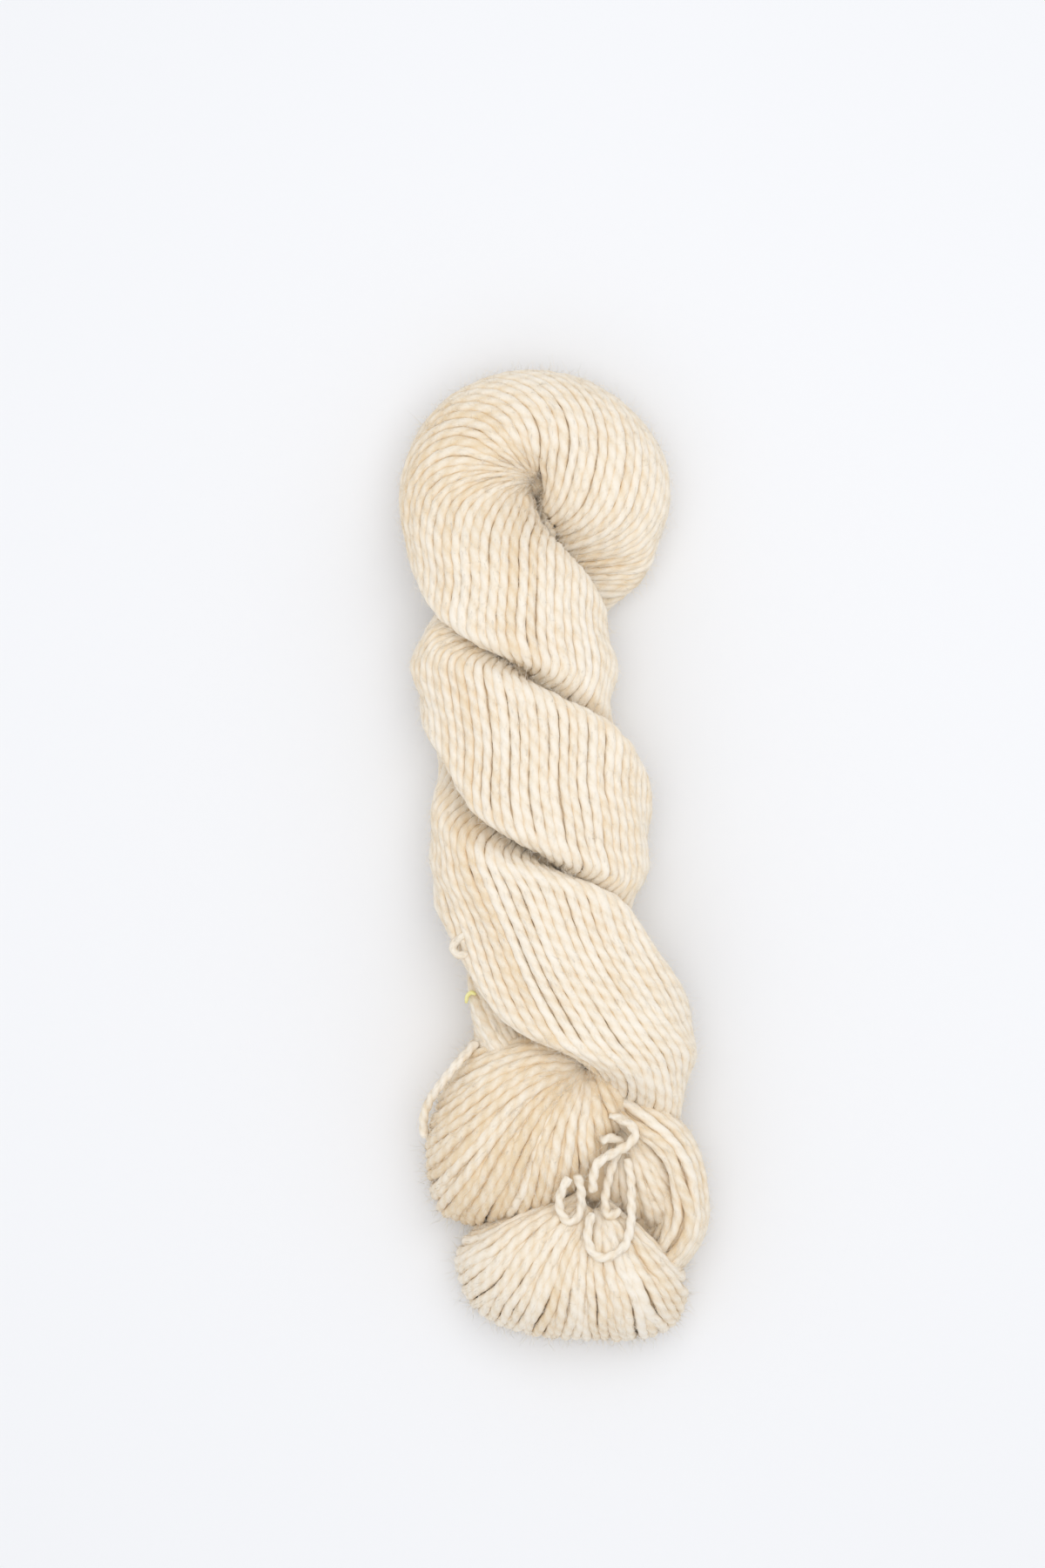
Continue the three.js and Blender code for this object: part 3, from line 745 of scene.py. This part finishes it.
def layLanes(surface, rows, start, span, ring):
    # yarns side by side at one pitch and pulled straight: each round moves them towards their own running
    # mean and then evens the gaps; where there is no room some sink under their neighbours
    facts, count = laneFit, start.shape[1]
    order = np.argsort(np.argsort((np.arange(count) * facts["spread"]) % 1.0)) / count
    share = start
    grid = rows[:, None] + 0 * share
    none = np.zeros((len(rows), 1))

    def after(a):
        return np.roll(a, -1, 1) if ring else a[:, 1:]

    def here(a):
        return a if ring else a[:, :-1]

    for k in range(facts["rounds"]):
        place = evenPlaces(surface, rows, share, span)
        points = surface(grid, place)
        sideways = unit(surface(grid, place + 0.02) - surface(grid, place - 0.02))
        girth = np.linalg.norm(after(points) - here(points), axis=2).sum(1, keepdims=True)
        share = share + ((blurRows(points, facts["straighten"]) - points) * sideways).sum(-1) / girth
        points = surface(grid, evenPlaces(surface, rows, share, span))
        tangent = here(unit(np.gradient(points, axis=0)))
        across = after(points) - here(points)
        across = across - (across * tangent).sum(-1, keepdims=True) * tangent
        gap = np.maximum(np.linalg.norm(across, axis=2), facts["leastGap"])
        step = after(share) - here(share)
        if ring:
            step[:, -1] += 1.0
        # how many yarns have room in each row, and which lie on top
        fit = blurRows(gap.sum(1, keepdims=True) / yarn["pitch"], facts["soften"])
        awake = np.clip((fit - order * count) / facts["sinkOver"] + 0.5, 0, 1)
        awake = blurRows(awake, facts["soften"])
        wanted = yarn["pitch"] * 0.5 * (after(awake) + here(awake)) + facts["leastWidth"]
        step = blurRows(step * np.clip(wanted / gap, *facts["stretch"]), facts["soften"])
        step /= step.sum(1, keepdims=True)
        moved = np.concatenate([none, np.cumsum(step, 1)], 1)
        if ring:
            moved = moved[:, :-1]
            share = moved + (share - moved).mean(1, keepdims=True)
        else:
            share = start[:, :1] + (start[:, -1:] - start[:, :1]) * moved
    return share, awake


def surfaceNormal(surface, a, b, hand, reachA=0.004, reachB=0.02):
    # square to both of the surface's directions, from small steps either way
    alongA = surface(a + reachA, b) - surface(a - reachA, b)
    alongB = surface(a, b + reachB) - surface(a, b - reachB)
    return hand * unit(np.cross(alongA, alongB))


def layYarns(piece, surface, rows, share, awake, span, hand, own):
    # each lane's line under the surface, with its own wander, depth, thickness and tone
    facts, count = {**laneLay, **own}, share.shape[1]
    slow = unitNoise(len(rows), count, facts["slow"])
    quick = unitNoise(len(rows), count, facts["slow"] * 0.35)
    share = share + (slow * 0.7 + quick * 0.3) * facts["wander"] * facts["loose"] / count
    place = evenPlaces(surface, rows, share, span)
    grid = rows[:, None] + 0 * place
    points = firmRows(surface(grid, place), facts["smooth"])
    normal = unit(blurRows(surfaceNormal(surface, grid, place, hand), facts["smooth"]))
    lift = facts["rise"] * facts["loose"] * unitNoise(len(rows), count, facts["slow"] * 0.6)
    lift = np.clip(lift, -facts["riseLimit"], facts["riseLimit"])
    points = points - (facts["inset"] + (1 - awake) * facts["sink"] - lift)[..., None] * normal
    for j in range(count):
        path, up, level = resample(points[:, j], yarn["step"], normal[:, j], awake[:, j:j + 1])
        radius, tone = ownLooks(len(path), facts)
        path[:, 2] = np.maximum(path[:, 2], yarn["lowest"])
        # painted shade: darker where the yarn has sunk under its neighbours
        addTube(piece, path, up, radius, tone - facts["sinkPaintedShade"] * (1 - level[:, 0]))


secondEnd = {  # turns of the second strand that run on under the open loops
    "from": 2.74, "to": 2.90, "lanes": 40,
    "lay": {"wander": 0.25, "rise": 0.15, "sink": 0.0, "inset": 1.7, "tone": 0.30},
}
rows = evenRows(strandPoint, secondEnd["from"], secondEnd["to"], 2 * np.pi, laneFit["rowStep"])
share = np.tile(np.arange(secondEnd["lanes"]) / secondEnd["lanes"], (len(rows), 1))
layYarns(strandPieces["secondStrandTurns"], strandPoint, rows, share, np.ones_like(share),
         2 * np.pi, 1, secondEnd["lay"])
for name, piece in strandPieces.items():
    makePiece(name, piece)


# the open loops at the tied end

fanShape = {  # shared by the three fans
    "brow": 0.42,  # share of each ray where it reaches its crest
    "foot": 0.5,  # and where its underside leaves the table
    "power": 2.4,  # larger makes the fall to the rim squarer
    "end": 1.5, "rimAt": 0.97,  # end of the yarns under the rim, and where they are counted
}
fans = {
    "leftFanTurns": {
        "root": (11.0, -58.5), "rootTop": 27.0,
        "angle": [140, 155, 170, 185, 200, 218, 228, 246, 272, 292, 312, 325],
        "bend": [31, 28, 24, 19, 14, 6, 1, -7, -14, -23, -24, -18],
        "reach": [32.5, 37.5, 43, 49.5, 55.5, 60.5, 60.5, 55.5, 44, 33, 22, 16],
        "crest": [27, 33, 37, 39, 39.5, 39.5, 39, 37.5, 35.5, 33.5, 32.5, 31.5],
        "rim": [16, 16, 15, 15, 14, 13, 12, 12, 14, 20, 24, 26],
        # tone lower than the other fans: painted shade on the left side of the hank
        "pitch": 2.45, "start": 0.05, "hand": 1, "lay": {"loose": 1.2, "tone": 0.17}},
    "frontFanTurns": {
        "root": (12.5, -96.5), "rootTop": 26.0,
        "angle": [192, 200, 213, 229, 246, 262, 280, 297, 312, 324],
        "bend": [6, 5, 3, 0, 0, 0, 0, 0, -2, -4],
        "reach": [34, 43, 46.5, 48, 45, 43, 43.5, 45, 40.5, 30],
        "crest": [24, 31, 34, 35, 36, 36, 36, 35, 32, 25],
        "rim": [13, 11, 10, 10, 10, 10, 10, 10, 11, 13],
        "pitch": 2.4, "start": 0.10, "hand": 1, "lay": {"loose": 1.1, "tone": 0.34}},
    "innerFanTurns": {
        "root": (17.5, -74.0), "rootTop": 22.0,
        "angle": [338, 326, 312, 298, 284, 270, 256],
        "bend": [-24, -18, -10, -5, 0, 0, 0],
        "reach": [26, 32, 36.5, 37, 34, 30, 26],
        "crest": [27, 29, 30, 30, 29, 28, 26],
        "rim": [12, 12, 12, 12, 12, 12, 12],
        "pitch": 2.6, "start": 0.12, "hand": -1, "lay": {"loose": 1.3, "tone": 0.32}},
}


def fanSurface(fan):
    # rays from the root over a crest to the rim (s 0 to 1), then back under it (s 1 to 2); each ray
    # rises as a quarter sine, then falls to the rim and to the table as a squared-off quarter circle
    knots, shape = np.arange(len(fan["angle"])), fanShape

    def point(s, u):
        s, u = np.broadcast_arrays(np.asarray(s, float), np.asarray(u, float))
        angle, bend, reach, crest, rim = (along(knots, fan[key], u * knots[-1])
                                          for key in ("angle", "bend", "reach", "crest", "rim"))
        t = np.where(s <= 1, s, 2 - s)
        turned = np.radians(angle + bend * t)
        past = np.clip((t - shape["brow"]) / (1 - shape["brow"]), 0, 1)
        below = np.clip((t - shape["foot"]) / (1 - shape["foot"]), 0, 1)
        climb = np.sin(np.minimum(t / shape["brow"], 1) * np.pi / 2)
        rise = fan["rootTop"] + (crest - fan["rootTop"]) * climb
        over = rim + (crest - rim) * np.sqrt(1 - past ** shape["power"])
        under = rim * (1 - np.sqrt(1 - below ** shape["power"]))
        z = np.where(s <= 1, np.where(t < shape["brow"], rise, over), under)
        x = fan["root"][0] + reach * t * np.cos(turned)
        return np.stack([x, fan["root"][1] + reach * t * np.sin(turned), z], -1)

    return point


for name, fan in fans.items():
    surface = fanSurface(fan)
    rim = surface(np.full(200, fanShape["rimAt"]), np.linspace(0, 1, 200))
    count = int(lengthsAlong(rim)[-1] / fan["pitch"])
    rows = evenRows(surface, fan["start"], fanShape["end"], 1.0, laneFit["rowStep"])
    start = np.tile((np.arange(count) + 0.5) / count, (len(rows), 1))
    share, awake = layLanes(surface, rows, start, 1.0, False)
    piece = newPiece()
    layYarns(piece, surface, rows, share, awake, 1.0, fan["hand"], fan["lay"])
    makePiece(name, piece)
    print(f"{name}: {count} yarns")

endLoop = {
    "x": [18.5, 27, 34.5, 37.5, 37.5, 31, 20],
    "y": [-71.5, -77, -85, -95.5, -106, -115, -120],
    "z": [20, 21, 20, 18, 16, 13, 11],
    "wide": [4, 6, 6.5, 6.5, 6.5, 6.5, 6.5],
    "deep": [9, 13, 14, 14, 13, 11, 10],
    "span": (0.05, 5.95), "lanes": 20, "twist": 0.02,
    "lay": {"wander": 0.25, "smooth": 5.0, "inset": 0.5, "loose": 1.5, "tone": 0.32},
}


def loopPoint(v, theta):
    # an upright oval carried along the loop's line
    v, theta = np.broadcast_arrays(np.asarray(v, float), np.asarray(theta, float))
    knots = np.arange(len(endLoop["x"]))

    def column(key, at):
        return along(knots, endLoop[key], at)

    runX = column("x", v + 0.01) - column("x", v - 0.01)
    runY = column("y", v + 0.01) - column("y", v - 0.01)
    length = np.hypot(runX, runY)
    across = column("wide", v) * np.cos(theta)
    return np.stack([column("x", v) + across * runY / length, column("y", v) - across * runX / length,
                     column("z", v) + column("deep", v) * np.sin(theta)], -1)


rows = evenRows(loopPoint, *endLoop["span"], 2 * np.pi, laneFit["rowStep"])
start = np.arange(endLoop["lanes"]) / endLoop["lanes"] + endLoop["twist"] * rows[:, None]
share, awake = layLanes(loopPoint, rows, start, 2 * np.pi, True)
piece = newPiece()
layYarns(piece, loopPoint, rows, share, awake, 2 * np.pi, 1, endLoop["lay"])
makePiece("endLoopTurns", piece)


# the wool under the outer turns, toned dark as painted shade where it shows between them

core = {
    "depth": 1.5,  # under the wound surface
    "seamDepth": 1.6, "seamAt": (0.76, 0.95),  # and deeper where the yarns dive between the strands
    "endLead": 4.0,  # starts to drop this far before the second strand's yarns do
    "fanDepth": 1.6, "fanSpan": (0.12, 1.6), "fanRays": 48, "fanSides": 56,
    "loopRings": 60, "loopSides": 24,
    "eyeHeights": [0.5, 8, 15, 20, 22.5], "eyeRadii": [4.5, 4.5, 4.5, 3.375, 1.575],
    "rodSpan": (84, -44), "rodRings": 60, "rodRadius": 5.0, "rodHeight": 10.5,
    "lumps": [((15.0, -90.0), (17.0, 20.0), 28.5), ((11.0, -58.5), (7.0, 7.0), 27.5),  # middle, reach, top
              ((25.0, -104.0), (10.0, 9.0), 22.0), ((12.5, -96.5), (6.0, 6.0), 29.0)],
}


def circle(sides):
    # angles evenly round a full turn
    return np.arange(sides) / sides * 2 * np.pi


def strandShell():
    # the wound surface set in by the core's depth, more where the yarns dive
    seamward = ease(np.abs(ringPlaces) / np.pi, *core["seamAt"])[None, :, None]
    start = -strandTurns["endFrom"] - core["endLead"]
    endward = ease(-wound[..., 1:2], start, start + strandTurns["endLength"])
    endward = endward * (strandRows > strandTurns["endAfter"])[:, None, None]
    depth = core["depth"] + core["seamDepth"] * seamward + strandTurns["endDive"] * endward
    return (wound - depth * woundOut)[::4, :-1:4]


def loopShell():
    # the end loop's surface set in by the core's depth
    rings = np.linspace(*endLoop["span"], core["loopRings"])
    v, theta = np.meshgrid(rings, circle(core["loopSides"]), indexing="ij")
    return loopPoint(v, theta) - core["depth"] * surfaceNormal(loopPoint, v, theta, 1)


def fanShell(fan):
    # each ray of the fan goes out over the top and back underneath as one closed ring
    surface = fanSurface(fan)
    out = np.linspace(*core["fanSpan"], core["fanSides"])
    u, s = np.meshgrid(np.linspace(0.01, 0.99, core["fanRays"]), out, indexing="ij")
    points = surface(s, u) - core["fanDepth"] * surfaceNormal(surface, s, u, fan["hand"])
    points[..., 2] = np.maximum(points[..., 2], 1.0)
    return points


def eyePeg():
    # a round peg under the eye of the folded end, narrower at its top
    height, radius = np.array(core["eyeHeights"])[:, None], np.array(core["eyeRadii"])[:, None]
    turn = circle(20)
    x, y = strandShape["foldX"] + radius * np.cos(turn), strandShape["foldY"] + radius * np.sin(turn)
    return np.stack([x, y, height + 0 * turn], -1)


def rod():
    # an upright oval bar midway between the two strands
    heights = np.linspace(*core["rodSpan"], core["rodRings"])[:, None]
    turn = circle(24)
    x = middleLine(heights) + core["rodRadius"] * np.cos(turn)
    return np.stack([x, heights + 0 * turn,
                     strandShape["middleHeight"] + core["rodHeight"] * np.sin(turn) + 0 * x], -1)


def dome(at, reach, top):
    # half an egg standing on the table
    level = np.linspace(0, 0.97, 12)[:, None]
    turn = circle(32)
    wide = np.sqrt(1 - level ** 2)
    return np.stack([at[0] + reach[0] * wide * np.cos(turn), at[1] + reach[1] * wide * np.sin(turn),
                     1 + (top - 1) * level + 0 * turn], -1)


piece = newPiece()
shells = [strandShell(), loopShell()] + [fanShell(fan) for fan in fans.values()] + [eyePeg(), rod()]
for points in shells + [dome(*lump) for lump in core["lumps"]]:
    addGrid(piece, points)
makePiece("hankCore", piece)


# a stray kink of yarn on the third turn, and the short yellow thread

looseBits = {
    "strayKink": {
        "route": [(-21.5, -20.5, 33.5), (-24.2, -22.5, 33.4), (-26.8, -24.2, 32.6), (-28, -26.4, 32.4),
                  (-26.4, -28.4, 33.0), (-23.6, -27.8, 33.6)],
        "width": 2.5, "tone": 0.38, "as": ()},
    "markerThread": {
        "route": [(-24.4, -42.4, 22), (-24, -40.4, 23.4), (-22.8, -39.4, 24.4), (-21.6, -40, 25)],
        "width": 1.3, "tone": 0.45, "as": (yellowThread, "yellow_thread", "marker_thread")},
}
for name, facts in looseBits.items():
    path = smoothRoute(facts["route"], 0.5)
    radius, tone = np.full(len(path), facts["width"] / 2), np.full(len(path), facts["tone"])
    piece = newPiece()
    addTube(piece, path, upward, radius, tone, tipStart=0.7, tipEnd=0.7)
    makePiece(name, piece, *facts["as"])


# the halo of stray fibres

wisps = {
    "count": 11800,  # in each of three pieces
    "length": (1.5, 4.8), "thickness": 0.12, "taper": [1.0, 0.75, 0.2], "tone": 0.62,
    "lean": (18, 75),  # degrees off the yarn
    "turn": (-95, 95),  # degrees round the yarn, from its outward side
    "curl": 0.45, "rootDepth": 0.85,
    "above": 4,  # the lowest roots above the table
}


def addWisps(piece, roots, count):
    # three-sided tapering hairs rooted at random on the yarns: each runs out from its root along its
    # heading and bends with the square of the way along it
    path, tangent, normal, radius = (np.concatenate([root[k] for root in roots]) for k in range(4))
    high = np.flatnonzero(path[:, 2] > wisps["above"])
    pick = dice.choice(high, count)
    turn = np.radians(dice.uniform(*wisps["turn"], count))[:, None]
    side = np.cross(tangent[pick], normal[pick])
    out = normal[pick] * np.cos(turn) + side * np.sin(turn)
    way = tangent[pick] * dice.choice([-1.0, 1.0], count)[:, None]
    lean = np.radians(dice.uniform(*wisps["lean"], count))[:, None]
    length = dice.uniform(*wisps["length"], count)[:, None, None]
    heading = way * np.cos(lean) + out * np.sin(lean)
    curl = unit(dice.standard_normal((count, 3))) * wisps["curl"]
    root = path[pick] + out * (radius[pick] * wisps["rootDepth"])[:, None]
    taper = np.array(wisps["taper"])
    rings, sides = len(taper), 3
    reach = np.linspace(0, 1, rings)[None, :, None]
    middle = root[:, None] + length * (heading[:, None] * reach + curl[:, None] * reach ** 2)
    across = unit(np.cross(heading, out + 0.3 * curl))
    thick = wisps["thickness"] / 2 * taper[None, :, None, None]
    corner = circle(sides)[:, None]
    ring = np.cos(corner) * across[:, None, None] + np.sin(corner) * out[:, None, None]
    points = (middle[:, :, None] + thick * ring).reshape(-1, 3)
    first = rings * sides * np.arange(count)[:, None]
    quads, caps = ringFaces(piece["count"], rings, sides)
    quads = (first[:, :, None] + quads[None]).reshape(-1, 4)
    caps = np.concatenate([first + cap for cap in caps])
    fibre = np.zeros((quads.size, 2)), np.zeros((caps.size, 2))
    addMesh(piece, points, (quads, caps), fibre, np.full(len(points), wisps["tone"]))


for name in ("wispsFirst", "wispsSecond", "wispsThird"):
    piece = newPiece()
    addWisps(piece, wispRoots, wisps["count"])
    makePiece(name, piece)
